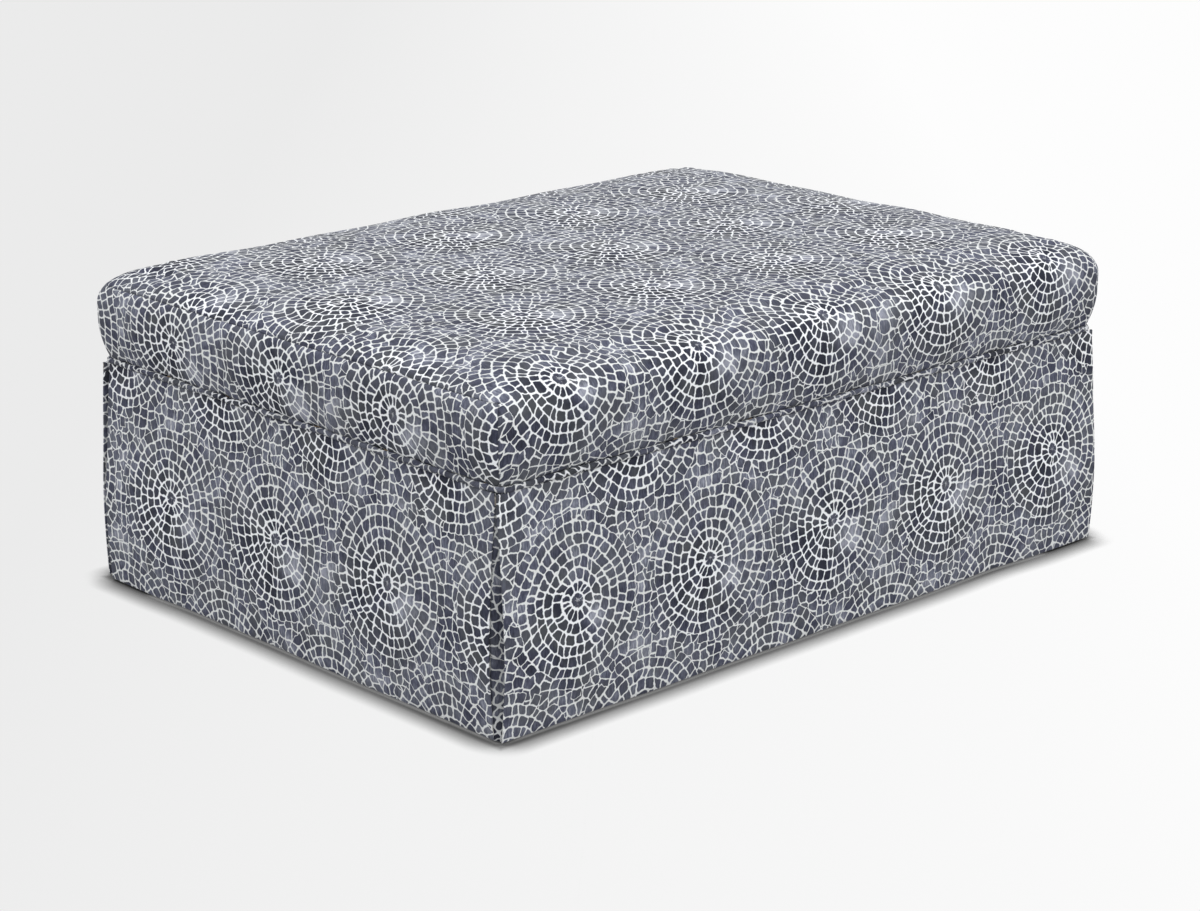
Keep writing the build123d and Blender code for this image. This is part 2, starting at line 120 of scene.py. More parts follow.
# Bare birch is cream with soft honey bands and fine pores, and beech is pinker and plainer
birch_long = wood("planed_birch_long_boards", "#d9c19a", "#b8935f", 6 * MM, 0.55, 0)
birch_cross = wood("planed_birch_cross_boards", "#d6bd96", "#b18c5b", 6 * MM, 0.55, 1)
birch_upright = wood("planed_birch_corner_blocks", "#d8c099", "#b5905d", 6 * MM, 0.55, 2)
beech = wood("turned_beech_dowels", "#d8b48a", "#b98a5c", 3 * MM, 0.6, 1)
corners = ("right_rear", "right_front", "left_rear", "left_front")
finish_nodes(("front_rail", "rear_rail"), birch_long)
finish_nodes(("right_end_rail", "left_end_rail", "centre_stretcher"), birch_cross)
finish_nodes([corner + "_corner_block" for corner in corners], birch_upright)
finish_nodes(("frame_dowels",), beech)


# Legs, leg plates, fixings and glides.
# Tapered ash legs in a walnut stain, each on a hanger bolt through a zinc-plated plate; the
# screws are zinc plated too, and a moulded nylon glide is pressed on the foot of each leg.

# Stained ash is a warm dark brown, darker in its bands, with a satin sheen
stained = wood("walnut_stained_ash_legs", "#6a452c", "#3d2417", 5 * MM, 0.38, 2)
finish_nodes([corner + "_leg" for corner in corners], stained)

# Zinc plate gives a cool, slightly clouded gloss with fine stamping marks
zinc, add = new_material("zinc_plated_pressed_steel")
place = add("TexCoord", out="Object")
cloud = add("TexNoise", place, 90.0, 3.0)
marks = add("TexNoise", place, 1400.0, 1.0)
tint = add("Mix RGBA", cloud, "#c3c6c9", "#a4a7aa")
surface(add, tint, add("MapRange", cloud, 0, 1, 0.28, 0.48), marks, 0.15, 0.1 * MM, Metallic=1.0)
finish_nodes([corner + "_leg_plate" for corner in corners], zinc)
finish_nodes(("corner_block_screws", "leg_plate_screws", "leg_hanger_bolts"), zinc)

# Moulded nylon is waxy and off-white, with a faint flow texture and scuffs underfoot
nylon, add = new_material("moulded_nylon_glides")
flow = add("TexNoise", add("TexCoord", out="Object"), 220.0, 4.0)
tint = add("Mix RGBA", flow, "#d9d6cd", "#c4c0b5")
surface(add, tint, 0.42, flow, 0.2, 0.2 * MM, IOR=1.53, Subsurface_Weight=0.1)
finish_nodes(("floor_glides",), nylon)


# Jute webbing: five long straps and seven cross straps, woven over and under each other.
# Coarse jute yarn in a plain weave with a red guide stripe near each edge, stretched over the
# frame, folded back at the ends and stapled.

YARN = 2.2 * MM
STRAP = 1.2 * MM
STRAP_RISE = 0.8 * MM
CROSSING = 48 * MM
STRAPS = (("long_strap_", 5), ("cross_strap_", 7))
rail_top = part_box("front_rail")[1].z


def quads(index):
    """Faces between the rows and columns of a grid of point numbers."""
    four = [index[:-1, :-1], index[1:, :-1], index[1:, 1:], index[:-1, 1:]]
    return np.stack(four, axis=-1).reshape(-1, 4)


def numbers(grid):
    """Numbers of the points of a grid, in its rows and columns."""
    return np.arange(grid.shape[0] * grid.shape[1]).reshape(grid.shape[:2])


def new_object(name, data):
    """An object in the scene, from its mesh, lamp or camera."""
    made = bpy.data.objects.new(name, data)
    scene.collection.objects.link(made)
    return made


def mesh_piece(name, points, faces, uv=None, materials=()):
    """A smooth shown piece on the one body, with, if given, its cloth coordinates in metres."""
    mesh = bpy.data.meshes.new(name)
    points = np.reshape(points, (-1, 3)).tolist()
    mesh.from_pydata(points, [], [tuple(int(i) for i in face) for face in faces])
    mesh.polygons.foreach_set("use_smooth", [True] * len(mesh.polygons))
    if uv is not None:
        layer = mesh.uv_layers.new(name="cloth_metres")
        corner = np.zeros(len(mesh.loops), np.int32)
        mesh.loops.foreach_get("vertex_index", corner)
        layer.data.foreach_set("uv", np.reshape(uv, (-1, 2)).astype(np.float32)[corner].ravel())
    for material in materials:
        mesh.materials.append(material)
    made = new_object(name, mesh)
    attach(made, "root")
    return made


def thicken(piece, thickness, offset=-1.0, inside=0):
    """Give a sheet its real thickness, its back in another of its materials."""
    solid = piece.modifiers.new("thickness", "SOLIDIFY")
    solid.thickness, solid.offset = thickness, offset
    solid.material_offset = inside
    solid.use_even_offset = True


def plain_weave(add, spacing, relief, slub_scale, slub_detail):
    """Place on a cloth, and its height: yarns that cross at a spacing, roughened by slubs."""
    place = add("UVMap", uv_map="cloth_metres")
    yarns = add("SeparateXYZ", add("Mapping", place, Scale=[math.pi / spacing] * 3))
    warp, weft = [add("SINE", way) for way in yarns.node.outputs[:2]]
    slubs = add("TexNoise", place, slub_scale, slub_detail)
    return place, add("MULTIPLY_ADD", add("MULTIPLY", warp, weft), relief, slubs)


# Jute is matt, hairy and brown-gold; each crossing of the yarns stands up as a small knuckle
jute, add = new_material("woven_jute_webbing")
place, height = plain_weave(add, YARN, 0.5, 900.0, 3.0)
fibre = add("Mix RGBA", add("MapRange", height, -0.1, 1.1), "#6f5433", "#c6a570")
from_middle = add("ABSOLUTE", add("SeparateXYZ", place, out="Y"))
on_stripe = add("COMPARE", from_middle, 28 * MM, 3 * MM)
colour = add("Mix RGBA", on_stripe, fibre, "#8c3b2a")
surface(add, colour, 0.9, height, 0.8, 0.6 * MM, Sheen_Weight=0.2)


def straps(name, along):
    """All straps of one direction: each rises over and dips under its crossings in soft waves."""
    (stem, count), (other, crossed) = STRAPS[along], STRAPS[1 - along]
    others = [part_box(other + str(i + 1)) for i in range(crossed)]
    crossings = sorted((low[along] + high[along]) / 2 for low, high in others)
    points, faces, uv, start = [], [], [], 0
    for number in range(count):
        low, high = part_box(stem + str(number + 1))
        middle, width = (low[1 - along] + high[1 - along]) / 2, high[1 - along] - low[1 - along]
        first_over = (number % 2 == 0) == (along == 0)
        run = np.linspace(low[along], high[along], int((high[along] - low[along]) / (12 * MM)))
        wave = np.zeros_like(run)
        for i, crossing in enumerate(crossings):
            side = 1 if (i % 2 == 0) == first_over else -1
            wave += side * STRAP_RISE * np.exp(-(((run - crossing) / CROSSING) ** 4))
        across = np.linspace(-width / 2, width / 2, 9)
        grid = np.zeros((len(run), len(across), 3))
        grid[:, :, along] = run[:, None]
        grid[:, :, 1 - along] = middle + across
        grid[:, :, 2] = rail_top + STRAP / 2 + wave[:, None]
        points.append(grid.reshape(-1, 3))
        faces.append(quads(start + numbers(grid))[:, ::1 if along == 0 else -1])
        uv.append(np.stack(np.meshgrid(run, across, indexing="ij"), axis=-1).reshape(-1, 2))
        start += len(points[-1])
    made = mesh_piece(name, *[np.concatenate(part) for part in (points, faces, uv)], [jute])
    thicken(made, STRAP, 0.0)
    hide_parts(*[stem + str(i + 1) for i in range(count)])


straps("long_webbing_straps", 0)
straps("cross_webbing_straps", 1)


# Deck cloth: a plain woven polypropylene sheet over the webbing, stapled round the rails.
# It keeps the foam from working through the gaps, and dips a little between the straps.

def woven(name, warp, weft, spacing, roughness, relief):
    """Plain-woven cloth in two close colours of thread, drawn at a given thread spacing."""
    material, add = new_material(name)
    _, height = plain_weave(add, spacing, 0.5, 160.0, 4.0)
    colour = add("Mix RGBA", height, warp, weft)
    surface(add, colour, roughness, height, relief, 0.3 * MM, Sheen_Weight=0.15)
    return material


def ripple(place, lengths, seed):
    """A smooth uneven wave of about unit height: a sine for each wavelength, in fixed phases."""
    total = np.zeros_like(place)
    for i, length in enumerate(lengths):
        phase = 2.39996 * (seed + 1) * (i + 1) + 0.7 * seed
        total += np.sin(2 * math.pi * place / length + phase)
    return total / math.sqrt(len(lengths))


def flat_sheet(name, material, low, high, level, cell, sag, skip=None):
    """A level cloth on a grid, sagging between its fixings, with no faces where skip says."""
    xs = np.linspace(low.x, high.x, int((high.x - low.x) / cell) + 1)
    ys = np.linspace(low.y, high.y, int((high.y - low.y) / cell) + 1)
    x, y = np.meshgrid(xs, ys, indexing="ij")
    inside = (1 - (2 * x / (high.x - low.x)) ** 4) * (1 - (2 * y / (high.y - low.y)) ** 4)
    uneven = 1 + 0.3 * ripple(x, (0.19, 0.31), 1) * ripple(y, (0.16, 0.27), 2)
    points = np.stack([x, y, level - sag * inside * uneven / 1.6], axis=-1).reshape(-1, 3)
    faces = quads(numbers(x))
    if skip is not None:
        faces = faces[~skip(*points[faces].mean(axis=1).T[:2])]
    used, faces = np.unique(faces, return_inverse=True)
    return mesh_piece(name, points[used], faces.reshape(-1, 4), points[used, :2], [material])


# Woven polypropylene is a dull straw-grey tape yarn with a slight plastic shine
polypropylene = woven("woven_polypropylene_deck_cloth", "#b9b2a2", "#d2ccbd", 1.6 * MM, 0.7, 0.4)
low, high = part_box("deck_cloth")
deck = flat_sheet("deck_cloth_sheet", polypropylene, low, high, high.z, 20 * MM, 0.15 * MM)
thicken(deck, high.z - low.z)
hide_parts("deck_cloth")


# Pad: a foam core in a bonded fibre wrap, crowned, with its sides drawn in at the seam.
# It is one stuffed body under the cover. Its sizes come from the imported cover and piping, and
# all layers of the pad are taken from the one form below.

belly_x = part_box("right_end_boxing")[1].x
belly_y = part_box("top_panel")[1].y
pad_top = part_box("top_panel")[1].z
seam_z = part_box("welt_piping")[1].z - 4 * MM
pad_height = pad_top - seam_z
belly_z = seam_z + 0.447 * pad_height
edge_radius = 0.32 * pad_height
crown_rise = 0.085 * pad_height
rim_angle = math.radians(79)
crown_radius = crown_rise / (1 - math.sin(rim_angle))
edge_base = pad_top - crown_rise - edge_radius * math.sin(rim_angle)
crest_angle = 0.45 * rim_angle
draw_in = 12 * MM
tuck_top = seam_z + 5.6 * MM
flank_drop = belly_z - tuck_top
flank_radius = (flank_drop**2 + draw_in**2) / (2 * draw_in)
corner_radius = 22 * MM
corner_growth = 0.6

MERGE = 2e-5
COVER_SLACK = 2.5 * MM
SWELL, SHRINK = 4 * MM, 0.2 * MM
WRAP_INSET = 2.2 * MM


def ring_radius(inset, upper):
    """Plan radius of the pad's corners at an inset from its fullest line."""
    return corner_radius + corner_growth * (inset if upper else -inset)


def height_at(inset):
    """Height of the upper surface at an inset: round edge, then low crown, then flat."""
    edge_end = edge_radius * (1 - math.cos(rim_angle))
    on_edge = np.clip(1 - inset / edge_radius, math.cos(rim_angle), 1)
    edge_z = edge_base + edge_radius * np.sqrt(1 - on_edge**2)
    on_crown = np.clip(math.cos(rim_angle) - (inset - edge_end) / crown_radius, 0, 1)
    crown_z = pad_top - crown_radius + crown_radius * np.sqrt(1 - on_crown**2)
    return np.where(inset < edge_end, edge_z, crown_z)


def inset_of(x, y):
    """Inset of the pad's ring that passes through a place in plan, found by halving."""
    to_x, to_y = belly_x - np.abs(x), belly_y - np.abs(y)
    low, high = np.zeros_like(to_x), np.full_like(to_x, 0.3)
    for _ in range(30):
        inset = (low + high) / 2
        radius = ring_radius(inset, True)
        corner = (radius + inset > to_x) & (radius + inset > to_y)
        round_gap = radius - np.hypot(radius + inset - to_x, radius + inset - to_y)
        inside = np.where(corner, round_gap, np.minimum(to_x, to_y) - inset)
        low, high = np.where(inside > 0, inset, low), np.where(inside > 0, high, inset)
    return (low + high) / 2


def side_levels():
    """Inset, height and upper or lower, from the crest seam down to the tail under the piping."""
    levels = []
    for angle in np.linspace(crest_angle, 0, 6):
        inset = edge_radius * (1 - math.cos(angle))
        levels.append((inset, edge_base + edge_radius * math.sin(angle), True))
    for z in np.linspace(edge_base, belly_z, 5)[1:]:
        levels.append((0.0, z, True))
    for angle in np.linspace(0, math.asin(flank_drop / flank_radius), 10)[1:]:
        inset = flank_radius * (1 - math.cos(angle))
        levels.append((inset, belly_z - flank_radius * math.sin(angle), False))
    for further, drop in ((2, 1.8), (4, 3.6), (4, 10), (4, 20)):
        levels.append((draw_in + further * MM, tuck_top - drop * MM, False))
    return levels


def spread(half):
    """Shares from -1 to 1 across a panel, close together at its edges and wider in the middle."""
    steps, step = [], 3 * MM
    while sum(steps) < half:
        steps.append(step)
        step = min(step * 1.09, 11 * MM)
    shares = 1 - np.concatenate([[0], np.cumsum(steps)]) / sum(steps)
    return np.concatenate([-shares[:-1], shares[::-1]])


def ring_side(shares, inset, upper, half_along, half_out):
    """One side of a ring of the pad, to the middle of its corners: along it, and out."""
    radius = ring_radius(inset, upper)
    along = shares * (half_along - inset - radius * (1 - math.cos(math.pi / 4)))
    beyond = np.maximum(np.abs(along) - (half_along - inset - radius), 0)
    return along, half_out - inset - radius + np.sqrt(np.maximum(radius**2 - beyond**2, 0))


def side_grid(shares, half_along, half_out):
    """Points down one side of the pad: along it, out from the middle, and up."""
    rows = [(*ring_side(shares, inset, upper, half_along, half_out), z + 0 * shares)
            for inset, z, upper in levels]
    return np.array(rows).transpose(0, 2, 1)


def top_grid():
    """Points of the top inside the crest seam."""
    inset = edge_radius * (1 - math.cos(crest_angle))
    x = shares_x[None, :] * ring_side(shares_y, inset, True, belly_y, belly_x)[1][:, None]
    y = shares_y[:, None] * ring_side(shares_x, inset, True, belly_x, belly_y)[1][None, :]
    return np.stack([x, y, height_at(np.maximum(inset_of(x, y), inset))], axis=-1)


def unique_points(grids):
    """Merge grids of points into one list, and give each grid's indices into it."""
    joined = np.concatenate([g.reshape(-1, 3) for g in grids])
    _, first, index = np.unique(
        np.round(joined / MERGE), axis=0, return_index=True, return_inverse=True
    )
    ends = np.cumsum([g.shape[0] * g.shape[1] for g in grids])[:-1]
    parts = np.split(index.reshape(-1), ends)
    return joined[first], [part.reshape(g.shape[:2]) for part, g in zip(parts, grids)]


def form_faces(top, front, rear, right, left):
    """Faces over the top and down the four sides, all turned outwards."""
    return np.concatenate([
        quads(top)[:, ::-1], quads(front), quads(rear)[:, ::-1], quads(right), quads(left)[:, ::-1]
    ])


def outward(points, faces):
    """Normals of the closed form at its points."""
    a, b, c = points[faces[:, 0]], points[faces[:, 1]], points[faces[:, 2]]
    face_normals = np.cross(b - a, c - a)
    normals = np.zeros_like(points)
    for i in range(4):
        np.add.at(normals, faces[:, i], face_normals)
    return normals / np.maximum(np.linalg.norm(normals, axis=1, keepdims=True), 1e-12)


def inflate(points, normals, faces, held):
    """Blow the cover up from inside with Cloth, each point kept near its place in the cut form."""
    loose = np.clip((points[:, 2:] - tuck_top) / (30 * MM), 0, 1)
    start = points - COVER_SLACK * loose * normals
    mesh = bpy.data.meshes.new("cover_form")
    mesh.from_pydata(start.tolist(), [], faces.tolist())
    form = new_object("cover_form", mesh)
    form.vertex_groups.new(name="held").add(held.tolist(), 1.0, "REPLACE")
    cloth = form.modifiers.new("cloth", "CLOTH").settings
    cloth.vertex_group_mass = "held"
    cloth.quality = 5
    cloth.mass = 0.3
    cloth.tension_stiffness = cloth.compression_stiffness = 18
    cloth.shear_stiffness = 6
    cloth.bending_stiffness = 0.8
    cloth.use_pressure = True
    cloth.uniform_pressure_force = 4
    cloth.effector_weights.gravity = 0
    for number in range(1, 21):
        scene.frame_set(number)
    blown = form.evaluated_get(bpy.context.evaluated_depsgraph_get()).to_mesh()
    moved = np.array([v.co for v in blown.vertices]) - points
    bpy.data.objects.remove(form)
    scene.frame_set(1)
    out = np.sum(moved * normals, axis=1, keepdims=True)
    return points + np.clip(out, -SHRINK, SWELL) * normals


shares_x, shares_y = spread(belly_x), spread(belly_y)
levels = side_levels()
front = side_grid(shares_x, belly_x, belly_y) * [1, -1, 1]
right = side_grid(shares_y, belly_y, belly_x)[:, :, [1, 0, 2]]
cut_points, (top_i, *sides_i) = unique_points(
    [top_grid(), front, front * [1, -1, 1], right, right * [-1, 1, 1]]
)
front_i, rear_i, right_i, left_i = sides_i
cut_faces = form_faces(top_i, *sides_i)
normals = outward(cut_points, cut_faces)
points = cut_points
held = np.unique(np.concatenate([g[-4:].ravel() for g in sides_i]))
points = inflate(cut_points, normals, cut_faces, held)

# Bonded polyester wadding looks like dull felt: matt white, with loose fibres lying every way
wadding, add = new_material("bonded_polyester_wadding")
place = add("TexCoord", out="Object")
fibres = add("TexNoise", place, 420.0, 6.0, Distortion=1.5)
tufts = add("TexNoise", place, 35.0, 3.0)
colour = add("Mix RGBA", add("MULTIPLY", fibres, tufts), "#d8d8d4", "#f2f2ee")
surface(add, colour, 0.95, fibres, 0.6, 1.0 * MM, Sheen_Weight=0.3)

filling_sides = [g[:-3] for g in sides_i]
used, faces = np.unique(form_faces(top_i, *filling_sides), return_inverse=True)
filling_points = (points - WRAP_INSET * normals)[used]
filling_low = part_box("foam_core")[0].z
filling_points[:, 2] = np.maximum(filling_points[:, 2], filling_low)
low_front, low_rear, low_right, low_left = [np.searchsorted(used, g[-1]) for g in filling_sides]
loop = np.concatenate([low_front, low_right[1:], low_rear[::-1][1:], low_left[::-1][1:-1]])
base = filling_points[loop] * [0.97, 0.97, 1]
base[:, 2] = filling_low
first, count = len(used), len(loop)
band = [(loop[i - 1], loop[i], first + i, first + (i - 1) % count) for i in range(count)]
filling = mesh_piece(
    "foam_pad_in_fibre_wrap",
    np.concatenate([filling_points, base]),
    [*faces.reshape(-1, 4), *band, range(first, first + count)],
    materials=[wadding],
)
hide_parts("foam_core", "fibre_wrap")


# Printed cover cloth: a cotton and linen union, printed with rings of small mosaic tiles.
# The rings stand in half-drop rows. Every piece of the cover is cut from it, and each has its
# own cloth coordinates in metres, so that the print runs over the edges and breaks at the seams.

ROSETTE = 240 * MM
ROW = 210.5 * MM
TILE_ROW = 15 * MM
DISC = 11 * MM
PETALS = 26.5 * MM
STONE = 15 * MM
THREAD = 1.3 * MM


def printed_cloth(name, fade, depth=1.0):
    """The print; fade lets undyed linen through, as on the back, and depth darkens it all as
    painted shade.
    """
    material, add = new_material(name)

    # Plain weave, with threads drawn about twice as coarse as they are, so that they show
    place, height = plain_weave(add, THREAD, 0.4, 300.0, 3.0)

    # Hand-drawn lines wander over a hand's width, and a little again within each tile
    drawn = place
    for scale, far in ((14.0, 15 * MM), (75.0, 7 * MM)):
        wander = add("TexNoise", place, scale, 2.0, out="Color")
        wander = add("VectorMath SUBTRACT", wander, (0.5, 0.5, 0.5))
        wander = add("VectorMath MULTIPLY", wander, (far, far, 0))
        drawn = add("VectorMath ADD", drawn, wander)

    # Nearest rosette of the two sets of half-drop rows, and the way from its middle
    bay, bay_low = (ROSETTE / 2, ROW, 0.5), (-ROSETTE / 2, -ROW, -0.5)
    shifted = add("VectorMath ADD", drawn, (ROSETTE / 2, ROW, 0))
    first, second = [add("VectorMath WRAP", at, bay, bay_low) for at in (drawn, shifted)]
    first_far, second_far = [add("VectorMath LENGTH", way) for way in (first, second)]
    arm = add("Mix VECTOR", add("LESS_THAN", second_far, first_far), first, second)
    reach = add("MINIMUM", first_far, second_far)
    arm_x, arm_y = add("SeparateXYZ", arm).node.outputs[:2]
    middle = add("VectorMath SUBTRACT", drawn, arm)
    middle = add("VectorMath MULTIPLY", middle, (2 / ROSETTE, 1 / ROW, 0))
    rosette = add("VectorMath FLOOR", add("VectorMath ADD", middle, (0.5, 0.5, 0.5)))

    def to_border(x, y):
        """Distance from a place in a rosette to the border with its neighbours."""
        x, y = [add("ABSOLUTE", way) for way in (x, y)]
        slant = math.hypot(ROSETTE / 2, ROW)
        toward = add("MULTIPLY_ADD", y, -ROW / slant, slant / 2)
        toward = add("MULTIPLY_ADD", x, -ROSETTE / 2 / slant, toward)
        return add("MINIMUM", add("SUBTRACT", ROSETTE / 2, x), toward)

    # Ring number, place across the ring, and the number of tiles round it
    disc = add("MapRange", reach, 0, DISC)
    petal = add("MapRange", reach, DISC, PETALS)
    outer = add("MapRange", reach, PETALS, PETALS + 20 * TILE_ROW, 0, 20)
    ring = add("ADD", add("ADD", disc, petal), outer)
    row, in_row = add("FLOOR", ring), add("FRACT", ring)
    is_disc, is_inner = [add("LESS_THAN", row, below) for below in (0.5, 1.5)]
    row_width = add("MULTIPLY_ADD", is_inner, PETALS - DISC - TILE_ROW, TILE_ROW)
    row_width = add("MULTIPLY_ADD", is_disc, 2 * DISC - PETALS, row_width)
    from_inside = add("MULTIPLY_ADD", is_disc, 9.0, in_row)
    ring_gap = add("MINIMUM", from_inside, add("SUBTRACT", 1.0, in_row))
    ring_gap = add("MULTIPLY", ring_gap, row_width)
    count = add("ROUND", add("MULTIPLY_ADD", row, 6.92, 2.82))
    count = add("MULTIPLY_ADD", is_inner, 4.0, count)

    # Tiles round the ring, with joints a little off their places and off square
    turn = add("MULTIPLY_ADD", add("ARCTAN2", arm_y, arm_x), 1 / (2 * math.pi), 0.5)
    row_seed = add("VectorMath ADD", rosette, add("CombineXYZ", Z=row))
    start = add("TexWhiteNoise", row_seed, noise_dimensions="3D")
    along = add("MULTIPLY_ADD", turn, count, start)
    number, in_tile = add("FLOOR", along), add("FRACT", along)
    lean = add("SUBTRACT", in_row, 0.5)
    joint_gap, tile = 1.0, number
    for step, side in ((0.0, "LESS_THAN"), (1.0, "GREATER_THAN")):
        joint = add("FLOORED_MODULO", add("ADD", number, step), count)
        chance = add("TexWhiteNoise", out="Color", noise_dimensions="4D", Vector=row_seed, W=joint)
        chance = add("VectorMath SUBTRACT", chance, (0.5, 0.5, 0.5))
        off, slope = add("SeparateXYZ", chance).node.outputs[:2]
        leaning = add("MULTIPLY_ADD", add("MULTIPLY", slope, lean), 0.75, step)
        at = add("MULTIPLY_ADD", off, 0.5, leaning)
        tile = add("MULTIPLY_ADD", add(side, in_tile, at), 2 * step - 1, tile)
        away = add("ABSOLUTE", add("SUBTRACT", in_tile, at))
        joint_gap = add("MINIMUM", joint_gap, away)
    tile_round = add("FLOORED_MODULO", tile, count)
    tile_chance = add("TexWhiteNoise", noise_dimensions="4D", Vector=row_seed, W=tile_round)
    tile_length = add("DIVIDE", add("MULTIPLY", reach, 2 * math.pi), count)
    joint_gap = add("MULTIPLY", joint_gap, tile_length)
    joint_gap = add("MULTIPLY_ADD", is_inner, 0.3 * MM, joint_gap)
    joint_gap = add("MULTIPLY_ADD", is_disc, 1.2 * MM, joint_gap)
    tile_gap = add("SMOOTH_MIN", ring_gap, joint_gap, 4.5 * MM)

    # Where a tile would lie across the border, odd stones fill the ground between rosettes
    tile_turn = add("SUBTRACT", add("ADD", tile, 0.5), start)
    tile_turn = add("DIVIDE", tile_turn, count)
    tile_turn = add("MULTIPLY_ADD", tile_turn, 2 * math.pi, -math.pi)
    tile_reach = add("MULTIPLY_ADD", row, TILE_ROW, PETALS - 1.5 * TILE_ROW)
    tile_x, tile_y = [add("MULTIPLY", add(wave, tile_turn), tile_reach)
                      for wave in ("COSINE", "SINE")]
    room = add("MULTIPLY_ADD", tile_chance, 16 * MM, 7 * MM)
    is_filler = add("LESS_THAN", to_border(tile_x, tile_y), room)
    cells = {"Scale": 1 / STONE, "Randomness": 0.62, "voronoi_dimensions": "2D"}
    stone_gap = add("TexVoronoi", drawn, feature="DISTANCE_TO_EDGE", **cells)
    stone_gap = add("MULTIPLY", stone_gap, STONE)
    stone = add("TexVoronoi", drawn, **cells)
    stone_chance = add("SeparateXYZ", stone.node.outputs["Color"])
    rounding = add("MULTIPLY_ADD", stone, -STONE, 0.8 * STONE)
    stone_gap = add("SMOOTH_MIN", stone_gap, rounding, 2.5 * MM)
    tile_gap = add("SMOOTH_MIN", tile_gap, to_border(arm_x, arm_y), 2 * MM)
    gap = add("Mix", is_filler, tile_gap, stone_gap)
    chance = add("Mix", is_filler, tile_chance, stone_chance)

    # Grout lines, broad round the middle and uneven everywhere
    brush = add("TexNoise", place, 190.0, 2.0)
    line = add("MapRange", reach, PETALS, PETALS + 8 * MM, 1.1 * MM, 0.84 * MM)
    line = add("MULTIPLY", line, add("MapRange", brush, 0.3, 0.7, 0.6, 1.4))
    line = add("MULTIPLY_ADD", chance, 0.3 * MM, line)
    inked = add("MapRange", add("SUBTRACT", gap, line), -0.4 * MM, 0.5 * MM,
                interpolation_type="SMOOTHSTEP")
    inked = add("MULTIPLY", inked, add("MapRange", reach, 1 * MM, 3 * MM, 0.72))

    # Washed inks: clouds over the cloth, a pale patch below right of each rosette, dark below left
    clouds = add("TexNoise", place, 13.0, 4.0, 0.6)
    strokes = add("TexNoise", add("Mapping", place, Scale=(420.0, 90.0, 1.0)), 1.0, 3.0)
    pale, dark = [
        add("MapRange", add("VectorMath DISTANCE", arm, (x * MM, -30 * MM, 0)), near * MM, far * MM,
            1, 0, interpolation_type="SMOOTHSTEP")
        for x, near, far in ((34, 2, 46), (-22, 25, 105))
    ]
    between = add("MapRange", reach, 62 * MM, 112 * MM, -0.84, -0.78)
    wash = add("MULTIPLY_ADD", clouds, 1.5, between)
    shares = ((chance, 0.33), (strokes, 0.9), (is_disc, 0.3), (pale, 0.68), (dark, -0.44))
    for part, share in shares:
        wash = add("MULTIPLY_ADD", part, share, wash)
    inks = add("ValToRGB", wash)
    ramp = inks.node.color_ramp.elements
    ramp[0].color, ramp[1].color = linear("#2b2d38"), linear("#a2a4ae")
    for position, colour in ((0.27, "#3e404e"), (0.5, "#515362"), (0.72, "#6d707d")):
        ramp.new(position).color = linear(colour)
    olive_at = add("TexNoise", place, 21.0, 2.0, Distortion=0.4)
    ink = add("Mix RGBA", add("MapRange", olive_at, 0.42, 0.66, 0, 0.5), inks, "#5f6160")
    grout = add("Mix RGBA", dark, "#e3e4e0", "#f4f5f4")
    colour = add("Mix RGBA", fade, add("Mix RGBA", inked, grout, ink), "#cfccc2")
    # Raised threads a little lighter; a depth below one darkens the whole colour as painted shade
    threadwork_and_painted_shade = add("MapRange", height, 0.1, 0.9, 0.92 * depth, 1.06 * depth)
    colour = add("VectorMath SCALE", colour, threadwork_and_painted_shade)
    surface(add, colour, 0.88, height, 0.35, 0.25 * MM,
            Specular_IOR_Level=0.12, Sheen_Weight=0.06, Sheen_Roughness=0.45)
    return material


# Union cloth is matt, with a dry hand: slate-blue inks that break up on the threads between
# chalky grout lines, and paler at the back, where the linen shows through
print_face = printed_cloth("printed_cotton_linen_face", 0.0)
print_back = printed_cloth("printed_cotton_linen_back", 0.55)
# In the pleats the print is darkened to 0.62 as painted shade, for the shade in the corner openings
print_pleat_painted_shade = printed_cloth("printed_cotton_linen_painted_pleat_shade", 0.0, 0.62)
# On the piping the print is darkened to 0.85 as painted shade, for the shade under the pad's edge
print_piping_painted_shade = printed_cloth("printed_cotton_linen_painted_piping_shade", 0.0, 0.85)


# Cover: one panel over the front, top and rear, and a boxing panel at each end.
# Cut from the printed cloth and sewn with plain seams at the crest and down the corners, then
# drawn down tight, which gathers it in small puckers just above the piping.

COVER = 0.9 * MM
SEAM_FADE = 18 * MM

# Where a row of rosettes lies on the front edge of the top, and on the ends
EDGE_ROW_Y = -422 * MM
BOXING_ROW_Z = 393 * MM


def refine(grid):
    """Twice as many points each way, on smooth curves through the first ones."""
    for axis in (0, 1):
        grid = np.moveaxis(grid, axis, 0)
        before = np.concatenate([2 * grid[:1] - grid[1:2], grid[:-2]])
        beyond = np.concatenate([grid[2:], 2 * grid[-1:] - grid[-2:-1]])
        half = (9 * (grid[:-1] + grid[1:]) - before - beyond) / 16
        finer = np.zeros((len(grid) + len(half), *grid.shape[1:]))
        finer[0::2], finer[1::2] = grid, half
        grid = np.moveaxis(finer, 0, axis)
    return grid


def lengths_along(points):
    """Distance run at each of a row of points."""
    return np.concatenate([[0], np.cumsum(np.linalg.norm(np.diff(points, axis=0), axis=1))])


def cloth_lengths(grid):
    """Distances over the cloth from the grid's middle column and middle row."""
    u = np.stack([lengths_along(row) for row in grid])
    v = np.stack([lengths_along(column) for column in np.moveaxis(grid, 1, 0)], axis=1)
    u -= u[:, [grid.shape[1] // 2]]
    v -= v[[grid.shape[0] // 2], :]
    return np.stack([u, v], axis=-1)


def seam_groove(distance):
    """How far a sewn edge lies below the cloth, with the roll of the turnings next to it."""
    groove = np.exp(-((distance / (2.2 * MM)) ** 2))
    roll = np.exp(-(((distance - 6 * MM) / (4 * MM)) ** 2))
    return -1.3 * MM * groove + 0.35 * MM * roll


